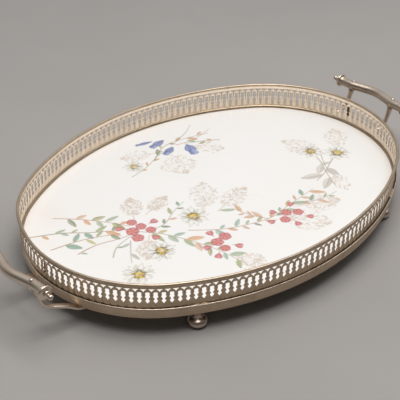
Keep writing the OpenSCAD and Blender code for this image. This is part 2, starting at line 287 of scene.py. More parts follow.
# ---- material helpers
class Nodes:
    """Short names for making nodes. An input takes a number, a colour or another node's output."""

    def __init__(self, name, store=bpy.data.materials, where="Object"):
        self.made = store.new(name)
        self.made.use_nodes = True
        self.tree = self.made.node_tree
        self.where = self.add("ShaderNodeTexCoord", output=where)

    def fill(self, node, inputs):
        for key, source in inputs.items():
            target = node.inputs[key]
            if hasattr(source, "is_output"):
                self.tree.links.new(source, target)
            elif target.type == "RGBA":
                target.default_value = (*source, 1.0)
            else:
                target.default_value = source

    def add(self, kind, inputs=None, output=0, **settings):
        node = self.tree.nodes.new(kind)
        for key, value in settings.items():
            setattr(node, key, value)
        self.fill(node, inputs or {})
        return node.outputs[output]

    def surface(self, **inputs):
        """Fills inputs of the shader, whose names have spaces for the underscores."""
        shader = self.tree.nodes["Principled BSDF"]
        self.fill(shader, {key.replace("_", " "): value for key, value in inputs.items()})

    def scaled(self, factors):
        return self.add("ShaderNodeMapping", {"Vector": self.where, "Scale": factors})

    def noise(self, scale, detail=4.0, roughness=0.6, vector=None):
        inputs = {"Vector": vector or self.where, "Scale": scale, "Detail": detail, "Roughness": roughness}
        return self.add("ShaderNodeTexNoise", inputs, "Fac")

    def ramp(self, value, low, high, shape="LINEAR"):
        """Changes between two stops of (value, grey or colour)."""
        node = self.tree.nodes.new("ShaderNodeValToRGB")
        node.color_ramp.interpolation = shape
        self.fill(node, {"Fac": value})
        for element, (position, colour) in zip(node.color_ramp.elements, (low, high)):
            element.position = position
            element.color = (*np.broadcast_to(colour, 3), 1.0)
        return node.outputs["Color"]

    def mix(self, factor, first, second, blend="MIX"):
        inputs = {"Factor": factor, "A": first, "B": second}
        return self.add("ShaderNodeMix", inputs, "Result", data_type="RGBA", blend_type=blend)

    def math(self, operation, first, second):
        return self.add("ShaderNodeMath", {0: first, 1: second}, operation=operation)

    def vector_math(self, operation, first, second, output):
        return self.add("ShaderNodeVectorMath", {0: first, 1: second}, output, operation=operation)

    def faces_out(self):
        """1 on faces that look away from the middle of the tray and 0 on the others."""
        surface = self.tree.nodes.new("ShaderNodeNewGeometry").outputs
        across = self.vector_math("MULTIPLY", surface["Position"], (1.0, 1.0, 0.0), "Vector")
        facing = self.vector_math("DOT_PRODUCT", surface["Normal"], across, "Value")
        return self.math("GREATER_THAN", facing, 0.0)

    def bump(self, *layers):
        """Bump from layers of (height, strength, distance in metres)."""
        below = {}
        for height, strength, distance in layers:
            inputs = {"Height": height, "Strength": strength, "Distance": distance, **below}
            below = {"Normal": self.add("ShaderNodeBump", inputs)}
        self.surface(**below)


def srgb(*rgb):
    """Linear colour from 0 to 255 display values."""
    return tuple(c / 12.92 if c <= 0.04045 else ((c + 0.055) / 1.055) ** 2.4 for c in (v / 255 for v in rgb))


# Painted reflection: a cream colour for faces that look towards the middle, where they mirror the white
# plaque.
PLAQUE_REFLECTION = (0.94, 0.8, 0.65)
# Painted highlight: a lighter colour for the ring's lip and what lies above it, where the metal is also
# smoother.
LIP_HIGHLIGHT_HEIGHT = LEDGE_Z - 0.7
LIP_HIGHLIGHT_COLOUR = (0.93, 0.82, 0.7)
TARNISH = (0.22, 0.145, 0.08)


def nickel(
    name, light, dark, rough, tarnish=TARNISH, stretch=(1, 1, 1), spots=0.5,
    reflection_tint=None, highlight_and_polish_above=None, relief=1.0, metallic=1.0,
):
    """Aged nickel plate: cloudy colour, brown tarnish in patches, fine scratches and small pits.

    Faces that look towards the middle of the tray can take a painted reflection of the white plaque in place
    of the tarnish, and metal above a height a lighter painted highlight and a smoother finish.
    """
    m = Nodes(name)
    cloud = m.noise(38.0, 5.0, 0.62)
    patch = m.noise(120.0, 6.0, 0.68)
    fine = m.noise(900.0, 3.0, 0.6, m.scaled(stretch))
    colour = m.mix(m.ramp(cloud, (0.32, 0.0), (0.68, 1.0)), dark, light)
    stained = m.mix(m.ramp(patch, (0.58, 0.0), (0.74, spots)), colour, tarnish)
    # Painted reflection of the white plaque on faces that look towards the middle, without tarnish.
    if reflection_tint:
        reflected_colour = m.mix(m.ramp(patch, (0.5, 0.0), (0.8, 0.35)), reflection_tint, light)
        stained = m.mix(m.faces_out(), reflected_colour, stained)
    # Painted highlight: metal above the height is mixed towards a lighter colour, and it is also made
    # smoother.
    if highlight_and_polish_above:
        height = m.add("ShaderNodeSeparateXYZ", {0: m.where}, "Z")
        worn = m.math("GREATER_THAN", height, highlight_and_polish_above * MM)
        stained = m.mix(m.math("MULTIPLY", worn, 0.8), stained, LIP_HIGHLIGHT_COLOUR)
        rough = m.math("SUBTRACT", rough, m.math("MULTIPLY", worn, 0.24))
    smear = m.math("MULTIPLY", m.math("SUBTRACT", patch, 0.5), 0.35 * relief)
    scratch = m.math("MULTIPLY", m.math("SUBTRACT", fine, 0.5), 0.25 * relief)
    rough = m.math("ADD", m.math("ADD", smear, scratch), rough)
    m.surface(Base_Color=stained, Metallic=metallic, Roughness=rough)
    m.bump((cloud, 0.25 * relief, 0.0006), (fine, 0.12 * relief, 0.0001), (patch, 0.15 * relief, 0.00015))
    return m.made


# The gallery's inner faces carry a painted reflection of the white plaque.
gallery_metal = nickel(
    "gallery nickel", (0.6, 0.465, 0.33), (0.48, 0.365, 0.25), 0.36,
    stretch=(1, 1, 3), spots=0.45, reflection_tint=PLAQUE_REFLECTION,
)
bead_metal = nickel("rim nickel", (0.62, 0.5, 0.38), (0.48, 0.38, 0.28), 0.42)
# The ring's lip carries a painted highlight.
ring_metal = nickel(
    "ring nickel", (0.62, 0.49, 0.365), (0.5, 0.39, 0.285), 0.5,
    stretch=(1, 1, 6), spots=0.4, highlight_and_polish_above=LIP_HIGHLIGHT_HEIGHT,
)
inner_metal = nickel(
    "inner bead nickel", (0.5, 0.4, 0.29), (0.36, 0.28, 0.19), 0.38, (0.14, 0.1, 0.05), (1, 1, 2), 0.6
)
fitting_metal = nickel(
    "fitting nickel", (0.8, 0.68, 0.57), (0.64, 0.53, 0.43), 0.33, (0.34, 0.25, 0.18), spots=0.35, relief=0.4
)
foot_metal = nickel(
    "foot nickel", (0.64, 0.52, 0.44), (0.48, 0.38, 0.32), 0.27, stretch=(1, 1, 8), relief=0.4
)
screw_metal = nickel("screw brass", (0.5, 0.39, 0.2), (0.36, 0.27, 0.13), 0.42, (0.12, 0.08, 0.04), spots=0.6)
lap_metal = nickel("tarnished joint", (0.12, 0.09, 0.06), (0.07, 0.05, 0.03), 0.6, (0.2, 0.15, 0.09))
seam_metal = nickel("worn solder", (0.66, 0.55, 0.45), (0.5, 0.42, 0.34), 0.4, metallic=0.3)
drop_metal = nickel("solder", (0.62, 0.56, 0.34), (0.5, 0.44, 0.25), 0.5, (0.5, 0.4, 0.16), metallic=0.3)


def felt_material():
    m = Nodes("packing felt")
    fibre = m.noise(700.0, 6.0, 0.75, m.scaled((1, 1, 4)))
    dust = m.ramp(m.noise(60.0, 3.0, 0.5), (0.4, 0.0), (0.7, 0.5))
    colour = m.mix(dust, m.mix(fibre, (0.1, 0.075, 0.05), (0.19, 0.15, 0.11)), (0.07, 0.055, 0.04))
    m.surface(Base_Color=colour, Roughness=0.95, Sheen_Weight=0.3)
    m.bump((fibre, 0.6, 0.0004))
    return m.made


def painted_shade_material():
    """Painted shade: a dark matte strip packed into the groove behind the lip, where shade falls."""
    m = Nodes("painted groove shade")
    grain = m.noise(500.0, 5.0, 0.7)
    m.surface(Base_Color=m.mix(grain, (0.02, 0.013, 0.007), (0.06, 0.04, 0.022)), Roughness=0.85)
    m.bump((grain, 0.5, 0.0003))
    return m.made


def glaze_material():
    """Thick white glaze over the painting, with a faint warm cloudiness, a few specks and a soft ripple."""
    m = Nodes("painted glaze")
    paint = m.add("ShaderNodeAttribute", output="Color", attribute_name="paint")
    cloud = m.noise(14.0, 4.0, 0.5)
    specks = m.noise(420.0, 2.0, 0.5)
    haze = m.noise(90.0, 4.0, 0.6)
    warm = m.mix(m.ramp(cloud, (0.35, 0.0), (0.75, 1.0)), (1.0, 1.0, 1.0), (0.995, 0.988, 0.98))
    body = m.mix(1.0, paint, warm, "MULTIPLY")
    colour = m.mix(m.ramp(specks, (0.76, 0.0), (0.8, 0.35)), body, (0.5, 0.42, 0.33))
    m.surface(Base_Color=colour, Roughness=m.ramp(haze, (0.3, 0.16), (0.8, 0.3)), IOR=1.5)
    m.surface(Coat_Weight=0.2, Coat_Roughness=0.08)
    m.bump((m.noise(30.0, 2.0, 0.4), 0.12, 0.0004), (haze, 0.05, 0.0001))
    return m.made


# ---- base ring
BAND_OUT = 1.75
GROOVE_FLOOR = LEDGE_Z - 1.8
LIP_FOOT = LEDGE_Z - 1.5
WALL_FOOT = BASE_Z + 3.0
SHELF_IN = -16.0


def base_profile():
    """Closed outline of [outward, height]: groove, rolled lip, rounded wall, its foot, web and shelf."""
    groove = [(-0.02, SHELF_TOP), (-0.02, GROOVE_FLOOR), (1.15, GROOVE_FLOOR)]
    lip = rounded([
        (1.2, LEDGE_Z - 0.4), (1.25, LEDGE_Z + 0.1), (1.7, LEDGE_Z + 0.2), (2.2, LEDGE_Z + 0.05),
        (2.35, LEDGE_Z - 0.5), (1.85, LEDGE_Z - 1.0), (BAND_OUT, LIP_FOOT),
    ])
    drop = LIP_FOOT - 0.6 - WALL_FOOT
    face = [(BAND_OUT + 0.42 * math.sin(math.pi * t), LIP_FOOT - drop * t) for t in (0.2, 0.4, 0.6, 0.8)]
    foot = rounded([(BAND_OUT, WALL_FOOT + 0.6), (BAND_OUT - 0.1, WALL_FOOT), (0.8, WALL_FOOT)])
    web = [(0.2, WALL_FOOT - 0.2), (0.2, BASE_Z + 0.2), (0.0, BASE_Z)]
    shelf = [(SHELF_IN + 0.3, BASE_Z), (SHELF_IN, BASE_Z + 0.3)]
    shelf += [(SHELF_IN, SHELF_TOP - 0.3), (SHELF_IN + 0.3, SHELF_TOP)]
    return groove + lip + face + foot + web + shelf


# The ring is bent from four lengths, which meet at these places. Solder fills the hairlines between them.
RING_SEAMS = (4.5, 41.0, 85.5, 121.9)
SEAM_GAP = 0.03
SEAM_HALF = 0.05
SEAM_PROFILE = [(1.5, LEDGE_Z - 0.6), (1.5, WALL_FOOT + 0.4), (2.26, WALL_FOOT + 0.4), (2.3, LEDGE_Z - 0.6)]
# A dark strip laid in the groove behind the lip: painted shade.
SHADE_STRIP_FLOOR = GROOVE_FLOOR + 0.02
SHADE_STRIP_PROFILE = [(0.02, SHADE_STRIP_FLOOR), (1.14, SHADE_STRIP_FLOOR), (1.14, LEDGE_Z - 0.9), (0.02, LEDGE_Z - 0.6)]
lengths = zip(RING_SEAMS, RING_SEAMS[1:] + (RING_SEAMS[0] + OPENINGS,))
ring = join_parts([swept_on_rim(base_profile(), a + SEAM_GAP, b - SEAM_GAP, tucked=True) for a, b in lengths])
seams = join_parts([swept_on_rim(SEAM_PROFILE, a - SEAM_HALF, a + SEAM_HALF) for a in RING_SEAMS])
add_piece("base_ring_body", ring, ring_metal, "base_ring", ["base_ring"])
add_piece("seam_solder", seams, seam_metal, "base_ring")
# The groove's painted shade.
add_piece("groove_painted_shade", swept_on_rim(SHADE_STRIP_PROFILE, tucked=True), painted_shade_material(), "base_ring")

# ---- pierced gallery
OPENING_TOP = RIM_TOP - 9.6
OPENING_HALF = 2.35
SPANDREL_TOP = OPENING_TOP + 3.6
STRIP_TOP = RIM_TOP - 1.6
STRIP_T = 0.6
# How far the metal's edge stands back from an opening, at which share of the depth, and how far it turns.
EDGE_STEPS = (
    (0.18, 0.0, 0.35), (0.06, 0.07, 0.8), (0.0, 0.27, 1.0),
    (0.0, 0.73, 1.0), (0.06, 0.93, 0.8), (0.18, 1.0, 0.35),
)


def keyhole():
    """Outline of one opening: a flat dome, a notch, a second swelling, a waist and a pointed foot."""
    half = [
        (0.0, 0.0), (0.55, -0.1), (0.8, -0.6), (0.86, -1.8), (0.8, -3.0), (0.66, -3.6), (0.9, -4.3),
        (1.05, -5.0), (0.95, -5.7), (0.6, -6.6), (0.4, -7.4), (0.42, -8.2), (0.62, -8.8), (0.9, -9.5),
        (0.86, -10.2), (0.52, -11.3), (0.2, -12.4), (0.0, -12.9),
    ]
    right = [(share * OPENING_HALF, z) for share, z in half]
    left = [(-x, z) for x, z in reversed(right[1:-1])]
    return np.array(rounded(right + left, 1, True)) + (0.0, OPENING_TOP)


def half_spandrel():
    """Right half of the small opening above a post, from its tip up to its flat top."""
    points = [(0.0, -3.3), (0.3, -3.0), (0.8, -2.0), (1.75, -1.2), (2.7, -0.55), (2.9, -0.1), (2.6, 0.0)]
    return np.array([*points, (0.0, 0.0)])


def outward_of(points, closed):
    """Unit vectors across an outline, to the right of its direction."""
    ahead = np.roll(points, -1, 0)
    behind = np.roll(points, 1, 0)
    if not closed:
        ahead[-1] = points[-1]
        behind[0] = points[0]
    run = ahead - behind
    across = np.stack([run[:, 1], -run[:, 0]], 1)
    return across / np.maximum(np.linalg.norm(across, axis=1), 1e-9)[:, None]


def cell_levels():
    """Outlines of one pitch of the strip and its keyhole, with the directions across them, per edge step."""
    half = PITCH / 2
    hole = keyhole()
    hole_out = outward_of(hole, True)
    if np.mean(np.sum((hole - hole.mean(0)) * hole_out, 1)) < 0:
        hole_out = -hole_out
    spandrel = half_spandrel()
    out = outward_of(spandrel, False)
    if out[3][1] > 0:
        out = -out
    out[0] = (0.0, -1.0)
    out[-1] = (0.0, 1.0)
    levels = []
    for spread, depth, turn in EDGE_STEPS:
        shaped = spandrel + out * spread
        right = [(half - max(x, 0.0), SPANDREL_TOP + z) for x, z in shaped]
        left = [(-x, z) for x, z in reversed(right)]
        outline = [(-half, SHELF_TOP), (half, SHELF_TOP), *right]
        outline += [(half, STRIP_TOP), (-half, STRIP_TOP), *left]
        right_turn = [(x, -z) for x, z in out]
        left_turn = [(-x, z) for x, z in reversed(right_turn)]
        across = [(0, 0), (0, 0), *right_turn, (0, 0), (0, 0), *left_turn]
        levels.append((np.array(outline), np.array(across, float), hole + hole_out * spread, depth, turn))
    return levels, hole_out


def is_inside(point, polygon):
    x, y = point
    hit = False
    for (x0, y0), (x1, y1) in zip(polygon, np.roll(polygon, -1, 0)):
        if (y0 > y) != (y1 > y) and x < (x1 - x0) * (y - y0) / (y1 - y0) + x0:
            hit = not hit
    return hit


def ring_edges(first, count):
    return [(first + i, first + (i + 1) % count) for i in range(count)]


def cell_mesh():
    """Points and normals (along, height, depth) of one cell, its faces, and faces that close its two ends."""
    levels, hole_out = cell_levels()
    outline, across, hole = levels[0][:3]
    n_outer = len(outline)
    hole_edges = ring_edges(n_outer, len(hole))
    flat = [Vector((float(x), float(y))) for x, y in np.concatenate([outline, hole])]
    cut = geometry.delaunay_2d_cdt(flat, ring_edges(0, n_outer) + hole_edges, [], 0, 1e-6)
    origin = [min(ids) if ids else -1 for ids in cut[3]]
    triangles = []
    for triangle in cut[2]:
        ids = [origin[i] for i in triangle]
        middle = np.mean([cut[0][i] for i in triangle], 0)
        whole = min(ids) >= 0 and len(set(ids)) == 3
        if whole and is_inside(middle, outline) and not is_inside(middle, hole):
            triangles.append(ids)
    verts = []
    normals = []
    for k, (outer, outer_across, inner, depth, turn) in enumerate(levels):
        facing = 1.0 if k < len(levels) // 2 else -1.0
        facings = np.concatenate([outer_across, -hole_out])
        for (x, z), (nx, nz) in zip(np.concatenate([outer, inner]), facings):
            verts.append((x, z, -depth * STRIP_T))
            tilt = turn if np.hypot(nx, nz) >= 0.1 else 0.0
            normals.append((nx * tilt, nz * tilt, facing * math.sqrt(1 - tilt * tilt)))
    per_level = n_outer + len(hole)
    back = (len(levels) - 1) * per_level
    faces = [face for ids in triangles for face in (tuple(ids), tuple(i + back for i in reversed(ids)))]
    walls = []
    ends = {-1: [], 1: []}
    for i, j in ring_edges(0, n_outer):
        shaped = np.hypot(*across[i]) > 0.1 and np.hypot(*across[j]) > 0.1
        if shaped or abs(outline[i][1] - outline[j][1]) < 1e-6:
            walls.append((i, j))
        else:
            ends[1 if outline[i][0] > 0 else -1].append((i, j))

    def through(edges):
        """Quads from the front to the back of the strip along edges of its face."""
        starts = range(0, back, per_level)
        return [(a + i, a + per_level + i, a + per_level + j, a + j) for a in starts for i, j in edges]

    faces += through(walls + hole_edges)
    return np.array(verts), np.array(normals), faces, through(ends[-1]), through(ends[1])


def gallery_strip(name, first, last, node):
    """A run of cells, bent along the rim, that stands for one of the two strips."""
    cell, n, cell_faces, first_end, last_end = cell_mesh()
    verts = []
    normals = []
    faces = []
    for k, place in enumerate(range(first, last + 1)):
        along = place + cell[:, 0] / PITCH
        shift, rise = lean(along, cell[:, 1])
        x, y, angle = on_rim(along, cell[:, 2] + shift)
        verts.append(np.stack([x, y, cell[:, 1] + rise], 1))
        c, s = np.cos(angle), np.sin(angle)
        normals.append(np.stack([c * n[:, 2] - s * n[:, 0], c * n[:, 0] + s * n[:, 2], n[:, 1]], 1))
        shown = cell_faces + (first_end if place == first else []) + (last_end if place == last else [])
        faces.extend([tuple(i + k * len(cell) for i in face) for face in shown])
    part = (np.concatenate(verts), faces, np.concatenate(normals))
    add_piece(name, part, gallery_metal, "gallery", [node])


def joint_lap(place, inner, outer):
    """Tab behind a joint, which leaves only a sliver of the opening free."""
    low_z = SHELF_TOP + 1.0
    top_z = OPENING_TOP + 1.2
    profile = [(inner, low_z), (outer, low_z), (outer, top_z), (inner, top_z)]
    return swept_on_rim(profile, place - 0.16, place + 0.44, per_pitch=12, bent=True)


def solder_drop(place, z, width, height):
    """Low drop of solder on the outer face of the gallery."""
    verts, faces = lathed([(0.0, -0.3), (1.0, -0.3), (1.0, 0.0), (0.8, 0.35), (0.45, 0.6), (0.0, 0.7)], 24)
    verts = verts * (width / 2, height / 2, 0.8)
    x, y, angle = (float(v[0]) for v in on_rim(place))
    along = (-math.sin(angle), math.cos(angle), 0.0)
    return placed((verts, faces), (x, y, z), along, (0.0, 0.0, 1.0), (math.cos(angle), math.sin(angle), 0.0))


gallery_strip("gallery_strip_back", RIGHT_JOINT + 1, LEFT_JOINT, "gallery_back")
gallery_strip("gallery_strip_front", LEFT_JOINT + 1, RIGHT_JOINT + OPENINGS, "gallery_front")
laps = join_parts([joint_lap(LEFT_JOINT, -0.95, -0.62), joint_lap(RIGHT_JOINT, 0.02, 0.35)])
add_piece("joint_laps", laps, lap_metal, "gallery")
add_piece("solder_drop", solder_drop(place=85.95, z=34.4, width=1.9, height=4.6), drop_metal, "gallery")

# ---- beads
WIRE_R = 1.62
WIRE_SIDES = 20
wire_profile = []
for step in range(WIRE_SIDES):
    wire_angle = 2 * math.pi * step / WIRE_SIDES
    wire_profile.append((0.1 + WIRE_R * math.cos(wire_angle), STRIP_TOP + WIRE_R * math.sin(wire_angle)))
wire = swept_on_rim(wire_profile, per_pitch=5, bent=True)
add_piece("rim_wire", wire, bead_metal, "gallery", ["rim_bead"], smooth_angle=80)

MOULDING_OUT = -STRIP_T - 0.02
moulding_profile = [(MOULDING_OUT, PLAQUE_TOP + 0.02)]
for a in np.linspace(0.12, math.pi / 2, 8):
    moulding_profile.append((MOULDING_OUT - 2.1 * math.sin(a), PLAQUE_TOP + 0.3 + 2.4 * math.cos(a)))
moulding_profile += [(MOULDING_OUT - 2.15, PLAQUE_TOP + 0.1), (MOULDING_OUT - 2.0, PLAQUE_TOP + 0.02)]
add_piece("inner_moulding", swept_on_rim(moulding_profile[::-1]), inner_metal, "gallery", ["inner_bead"])

# ---- feet
# Turned pieces are outlines of (radius, height), from the bottom or the handle's side up.
FOOT_PROFILE = [
    (0.0, 0.0), (3.8, 0.0), (4.8, 0.08), (5.3, 0.3), (6.0, 0.7), (7.7, 1.4), (9.1, 2.4), (9.9, 3.6),
    (10.2, 4.9), (10.05, 6.2), (9.4, 7.6), (8.3, 8.8), (6.9, 9.7), (5.7, 10.3), (5.05, 10.9), (4.8, 11.6),
    (4.8, 12.6), (4.95, 14.4), (5.3, 16.0), (5.7, 17.4), (6.1, 18.4), (6.2, 19.0), (6.0, BASE_Z),
    (0.0, BASE_Z),
]
for side_name in ("left", "right"):
    for end_name in ("front", "back"):
        node = f"foot_{side_name}_{end_name}"
        lo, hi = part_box(node)
        centre = ((lo.x + hi.x) / 2 / MM, (lo.y + hi.y) / 2 / MM, 0.0)
        add_piece("bun_" + node, placed(lathed(FOOT_PROFILE, 72), centre), foot_metal, "fittings", [node])

# ---- handles
TUBE_Z = RIM_TOP - 1.0
lo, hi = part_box("tube_right")
TUBE_R = (hi.z - lo.z) / 2 / MM
TUBE_HALF = hi.y / MM
TUBE_END_X = lo.x / MM + TUBE_R
BOW = hi.x / MM - TUBE_R - TUBE_END_X
BOW_R = 45.0
BOW_ANGLE = math.radians(14)
BOW_RUN = (BOW - 2 * BOW_R * (1 - math.cos(BOW_ANGLE))) / math.sin(BOW_ANGLE)
BOW_HALF = 2 * BOW_R * math.sin(BOW_ANGLE) + BOW_RUN * math.cos(BOW_ANGLE)


def tube_x(y):
    """Centre of the tube, outward, at a distance from its middle."""
    y = abs(y)
    first = BOW_R * math.sin(BOW_ANGLE)
    second = BOW_HALF - first
    if y < first:
        return TUBE_END_X + BOW - BOW_R + math.sqrt(BOW_R**2 - y**2)
    if y < second:
        return TUBE_END_X + BOW - BOW_R * (1 - math.cos(BOW_ANGLE)) - (y - first) * math.tan(BOW_ANGLE)
    if y < BOW_HALF:
        return TUBE_END_X + BOW_R - math.sqrt(BOW_R**2 - (BOW_HALF - y) ** 2)
    return TUBE_END_X


def handle_tube():
    """The tube, unevenly worn and flared a little at its ends."""
    ys = np.linspace(-TUBE_HALF, TUBE_HALF, 73)
    centres = [(tube_x(y), y, TUBE_Z) for y in ys]
    radii = []
    for y in ys:
        end = max(0.0, abs(y) - (TUBE_HALF - 4.0)) / 4.0
        worn = 0.05 * math.cos(y / 9.0)
        radii.append(TUBE_R - 0.1 + worn + 0.45 * end**2)
    return tube_along(centres, radii, 48)


CAP_PROFILE = [
    (0.0, -2.0), (4.0, -2.0), (4.2, -0.02), (5.55, 0.0), (5.8, 0.45), (5.6, 0.9), (5.4, 1.2), (6.0, 1.5),
    (7.0, 1.9), (7.45, 2.7), (7.45, 3.4), (7.0, 4.2), (6.0, 4.6), (5.2, 4.75), (4.8, 5.0), (4.2, 5.4),
    (3.2, 5.8), (2.3, 5.95), (0.0, 5.95),
]
FINIAL_PROFILE = [
    (0.0, 5.9), (3.2, 5.95), (4.0, 6.2), (4.3, 6.7), (4.2, 7.3), (3.7, 7.8), (2.6, 8.1), (1.9, 8.4),
    (1.6, 8.8), (1.55, 9.3), (1.8, 9.8), (2.4, 10.3), (2.75, 11.0), (2.8, 11.8), (2.6, 12.6), (2.0, 13.4),
    (1.2, 13.9), (0.5, 14.1), (0.0, 14.15),
]

# Where an arm meets its tube, how far it is turned from straight in, and how far it leans.
ARM_Y = 29.7
ARM_X = tube_x(ARM_Y)
ARM_TURN = math.radians(20)
ARM_TILT = math.radians(13)
# The strap's middle line: distance in from the tube, and height.
ARM_POINTS = [
    (56.0, 18.0), (50.0, 18.0), (44.0, 18.0), (40.6, 18.1), (38.4, 18.8), (36.4, 19.9), (33.6, 21.5),
    (31.4, 22.7), (28.5, 23.8), (25.0, 24.8), (21.0, 25.9), (17.6, 26.8), (15.0, 27.6), (12.3, 28.8),
    (9.9, 30.3), (7.9, 32.2), (6.4, 34.6), (5.3, 37.2), (4.2, 41.0), (3.2, 45.0), (2.1, 49.0), (1.5, 51.6),
]
NECK_FOOT = 42.0
NECK_RUN = 9.0


def arm():
    """A bent strap with softly rounded edges that swells into a round neck under the tube."""
    points = np.array([(-s, z) for s, z in ARM_POINTS])
    tangent = np.gradient(points, axis=0)
    tangent /= np.linalg.norm(tangent, axis=1)[:, None]
    across = np.stack([-tangent[:, 1], tangent[:, 0]], 1)
    sides = 24
    verts = []
    for p, n in zip(points, across):
        neck = np.clip((p[1] - NECK_FOOT) / NECK_RUN, 0.0, 1.0) ** 1.6
        half_w = 2.9 + 0.7 * neck
        half_t = 1.6 + 1.7 * neck
        power = 0.55 + 0.45 * neck
        for k in range(sides):
            a = 2 * math.pi * k / sides
            c, s = math.cos(a), math.sin(a)
            u = half_w * math.copysign(abs(c) ** power, c)
            v = half_t * math.copysign(abs(s) ** power, s)
            verts.append((p[0] + n[0] * v, u, p[1] + n[1] * v))
    return np.array(verts), flipped(tube_faces(len(points), sides))


def saddle():
    """Thin cup that hugs the underside of the tube over an arm."""
    rows = 13
    columns = 25
    outer = []
    inner = []
    for i in range(rows):
        along = -4.0 + 8.0 * i / (rows - 1)
        reach = math.radians(78) * math.sqrt(max(0.0, 1 - (along / 4.4) ** 2))
        for j in range(columns):
            round_tube = 2 * j / (columns - 1) - 1
            a = -math.pi / 2 + reach * round_tube
            thick = 1.0 - 0.75 * max(abs(round_tube) ** 4, abs(along / 4.0) ** 4)
            for store, r in ((outer, TUBE_R + thick), (inner, TUBE_R - 0.15)):
                store.append((r * math.cos(a), along, r * math.sin(a)))
    faces = grid_faces(rows, columns)
    n = rows * columns
    faces += [tuple(n + i for i in face) for face in flipped(faces)]
    border = grid_border(rows, columns)
    faces += [(a, b, b + n, a + n) for a, b in zip(border, border[1:] + border[:1])]
    x, y, z = np.array(outer + inner).T
    c, s = math.cos(-ARM_TILT), math.sin(-ARM_TILT)
    return np.stack([x * c - z * s, y, x * s + z * c], 1), faces


def rivet():
    """Domed rivet head, with the end of its shaft."""
    return lathed([
        (0.0, -1.0), (1.1, -1.0), (1.1, -0.1), (2.0, -0.1), (2.1, 0.15), (1.9, 0.6), (1.35, 1.0), (0.7, 1.2),
        (0.0, 1.25),
    ], 32)


ALONG_Y = dict(x=(1, 0, 0), y=(0, 0, -1), z=(0, 1, 0))


def bracket_parts(side):
    """The arm and saddle, and the rivet, of the right handle's back arm (side 1) or front arm (side -1)."""
    turn_x = np.array([math.cos(ARM_TURN), -math.sin(ARM_TURN), 0.0])
    turn_y = np.array([math.sin(ARM_TURN), math.cos(ARM_TURN), 0.0])
    up = np.array([0.0, 0.0, 1.0])
    foot = np.array([ARM_X, side * ARM_Y, 0.0])
    on_tube = foot + up * TUBE_Z
    slope = side * math.atan(tube_x(ARM_Y + 0.5) - tube_x(ARM_Y - 0.5))
    tube_in = (math.cos(slope), -math.sin(slope), 0.0)
    tube_along_y = (math.sin(slope), math.cos(slope), 0.0)
    rivet_up = math.sin(ARM_TILT) * turn_x + math.cos(ARM_TILT) * up
    rivet_out = math.cos(ARM_TILT) * turn_x - math.sin(ARM_TILT) * up
    body = join_parts([placed(arm(), foot, turn_x, turn_y), placed(saddle(), on_tube, tube_in, tube_along_y)])
    return body, placed(rivet(), on_tube + rivet_up * TUBE_R, rivet_out, turn_y, rivet_up)


CAP_AND_BALL = (("tube_cap_", "cap_", CAP_PROFILE, 64), ("ball_", "finial_", FINIAL_PROFILE, 48))
TUBE_END = (TUBE_END_X, TUBE_HALF, TUBE_Z)
rivets = []
for half, side_name in ((-1, "left"), (1, "right")):
    grip = mirrored(handle_tube(), half, half)
    add_piece("grip_" + side_name, grip, fitting_metal, "fittings", ["tube_" + side_name])
    for side, end_name in ((-half, "front"), (half, "back")):
        where = f"{side_name}_{end_name}"
        body, rivet_part = bracket_parts(side)
        add_piece("bracket_" + where, mirrored(body, half, half), fitting_metal, "fittings", ["arm_" + where])
        rivets.append(mirrored(rivet_part, half, half))
        for piece, node, profile, sides in CAP_AND_BALL:
            part = mirrored(placed(lathed(profile, sides), TUBE_END, **ALONG_Y), half, half * side)
            add_piece(piece + where, part, fitting_metal, "fittings", [node + where])
add_piece("bracket_rivets", join_parts(rivets), fitting_metal, "fittings", ["arm_rivets"])

# ---- carried-over CAD nodes
CARRIED_OVER = {
    "packing_strip": felt_material(), "foot_screws": screw_metal, "arm_screws": screw_metal,
    "foot_clips": ring_metal,
}
for node, material in CARRIED_OVER.items():
    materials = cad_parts[node].data.materials
    materials.clear()
    materials.append(material)

# ---- plaque and its painting
GLAZE, BACK, STAIN = (248, 246, 244), (214, 206, 192), (236, 205, 176)
RED, ROSE, CRIMSON = (200, 74, 84), (226, 138, 132), (160, 42, 58)
GREEN, TEAL, LIME, SAGE = (140, 163, 112), (96, 156, 138), (184, 188, 112), (172, 190, 160)
TAN, ORANGE, PEACH, OCHRE = (222, 172, 112), (222, 128, 66), (232, 190, 160), (196, 158, 84)
STEM, INK, ASH, BROWN = (158, 140, 112), (92, 82, 60), (172, 164, 150), (176, 128, 84)
BLUE, NAVY, SKY = (86, 108, 176), (54, 66, 128), (150, 168, 210)
GRASS, MOSS, YELLOW = (218, 203, 189), (176, 172, 146), (228, 204, 96)
WOOL, PEBBLE = (250, 248, 243), (216, 208, 196)
PLAQUE_OUT = -1.35
COLUMNS, ROWS = 640, 480
FAR = 1e9


def plaque_grid():
    """Points of a fine grid over the plaque's top, which strokes are laid into."""
    u, v = np.meshgrid(np.linspace(-1, 1, COLUMNS), np.linspace(-1, 1, ROWS))
    x = u * np.sqrt(1 - v * v / 2) * HALF_X
    y = v * np.sqrt(1 - u * u / 2) * HALF_Y
    angle = np.arctan2(y, x)
    ellipse = 1 / np.sqrt((np.cos(angle) / HALF_X) ** 2 + (np.sin(angle) / HALF_Y) ** 2)
    scale = rim_reach(angle, PLAQUE_OUT) / ellipse
    return (x * scale).ravel(), (y * scale).ravel()


grid_x, grid_y = plaque_grid()
painted = np.tile(np.array(srgb(*GLAZE)), (grid_x.size, 1))


def near(low, high):
    """Points of the grid between two corners."""
    return np.nonzero((grid_x > low[0]) & (grid_x < high[0]) & (grid_y > low[1]) & (grid_y < high[1]))[0]


def lay(ids, cover, colour):
    """Lays colour over points as a wash that lets what is under it through."""
    cover = np.clip(cover, 0.0, 1.0)[:, None]
    painted[ids] = painted[ids] * (1 - cover) + np.array(srgb(*colour)) * cover


